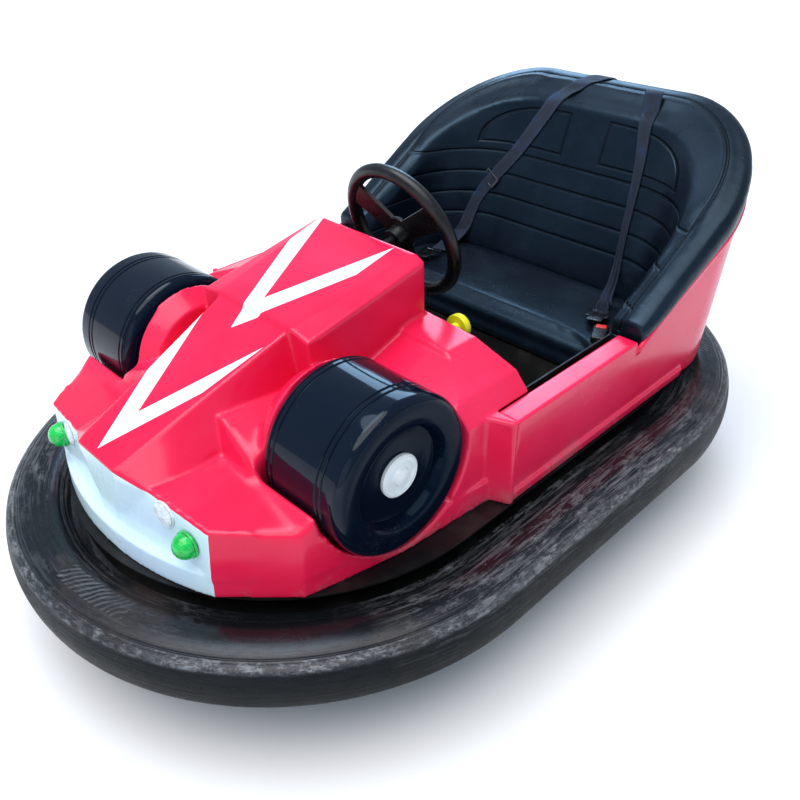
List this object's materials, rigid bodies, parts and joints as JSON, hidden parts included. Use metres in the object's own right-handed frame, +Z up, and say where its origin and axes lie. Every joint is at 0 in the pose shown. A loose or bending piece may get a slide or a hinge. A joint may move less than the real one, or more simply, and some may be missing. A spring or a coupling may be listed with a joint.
{
  "type": "bumper car",
  "caption": "Two-seat battery bumper car with a rubber bumper ring, moulded body, padded bench and a front drive unit steered all the way round.",
  "frame": {"origin": "floor level, under the centre of the bumper ring", "axes": "+X forward, +Y to the car's left, +Z up"},
  "size_m": [1.9496, 1.308, 0.8803],
  "materials": {
    "bumper_rubber": "worn, dusty",
    "black_steel": "satin",
    "floor_steel": "satin, scuffed",
    "red_gelcoat": "gloss gelcoat",
    "white_gelcoat": "gloss gelcoat",
    "black_vinyl": "satin grained vinyl",
    "plywood": "painted black",
    "battery_case": "matt",
    "black_panel": "satin",
    "cast_housing": "painted",
    "axle_steel": "zinc plated",
    "yellow_plastic": "gloss",
    "bright_metal": "polished",
    "gloss_black": "high gloss",
    "white_plastic": "gloss",
    "clear_lens": "faceted",
    "green_lens": "faceted",
    "webbing": "woven",
    "grip_plastic": "satin",
    "motor_case": "painted",
    "wheel_rubber": "matt"
  },
  "bodies": {
    "chassis": {"bumper_tyre": "bumper_rubber", "bumper_rim": "black_steel", "chassis_frame": "black_steel", "body_ring": "black_steel", "floor_pan": "floor_steel", "front_body": "red_gelcoat", "front_fascia": "white_gelcoat", "rear_tub": "red_gelcoat", "side_liner_left": "black_panel", "side_liner_right": "black_panel", "toe_board": "floor_steel", "rim_pad": "black_vinyl", "backrest_pad": "black_vinyl", "seat_cushion": "black_vinyl", "seat_box": "plywood", "battery": "battery_case", "dash_panel": "black_panel", "steering_gearbox": "cast_housing", "steering_tower": "black_steel", "rear_axle": "axle_steel", "accelerator_pedal": "axle_steel", "push_button": "yellow_plastic", "key_switch": "bright_metal", "mock_wheel_left": "gloss_black", "mock_wheel_right": "gloss_black", "hub_cap_left": "white_plastic", "hub_cap_right": "white_plastic", "headlamp_left": "clear_lens", "headlamp_right": "clear_lens", "marker_lamp_left": "green_lens", "marker_lamp_right": "green_lens", "belt_left": "webbing", "belt_right": "webbing", "belt_tongue_left": "bright_metal", "belt_tongue_right": "bright_metal", "belt_buckle_left": "black_panel", "belt_buckle_right": "black_panel"},
    "steering": {"steering_wheel": "grip_plastic", "steering_shaft": "axle_steel"},
    "drive_unit": {"drive_fork": "axle_steel", "drive_motor": "motor_case"},
    "drive_wheel": {"drive_wheel": "wheel_rubber"},
    "rear_wheel_left": {"rear_wheel_left": "wheel_rubber"},
    "rear_wheel_right": {"rear_wheel_right": "wheel_rubber"}
  },
  "joints": [
    {"name": "steering_turn", "type": "hinge", "parent": "chassis", "child": "steering", "pos_m": [-0.025, 0, 0.687], "axis": [-0.9603, 0, 0.279], "continuous": true},
    {"name": "drive_turn", "type": "hinge", "parent": "chassis", "child": "drive_unit", "pos_m": [0.4, 0, 0.262], "axis": [0, 0, 1], "continuous": true},
    {"name": "drive_spin", "type": "hinge", "parent": "drive_unit", "child": "drive_wheel", "pos_m": [0.4, 0, 0.105], "axis": [0, 1, 0], "continuous": true},
    {"name": "rear_spin_left", "type": "hinge", "parent": "chassis", "child": "rear_wheel_left", "pos_m": [-0.45, 0.33, 0.1], "axis": [0, 1, 0], "continuous": true},
    {"name": "rear_spin_right", "type": "hinge", "parent": "chassis", "child": "rear_wheel_right", "pos_m": [-0.45, -0.33, 0.1], "axis": [0, 1, 0], "continuous": true}
  ],
  "couplings": [
    {"joint": "drive_turn", "follows": "steering_turn", "ratio": 1}
  ]
}
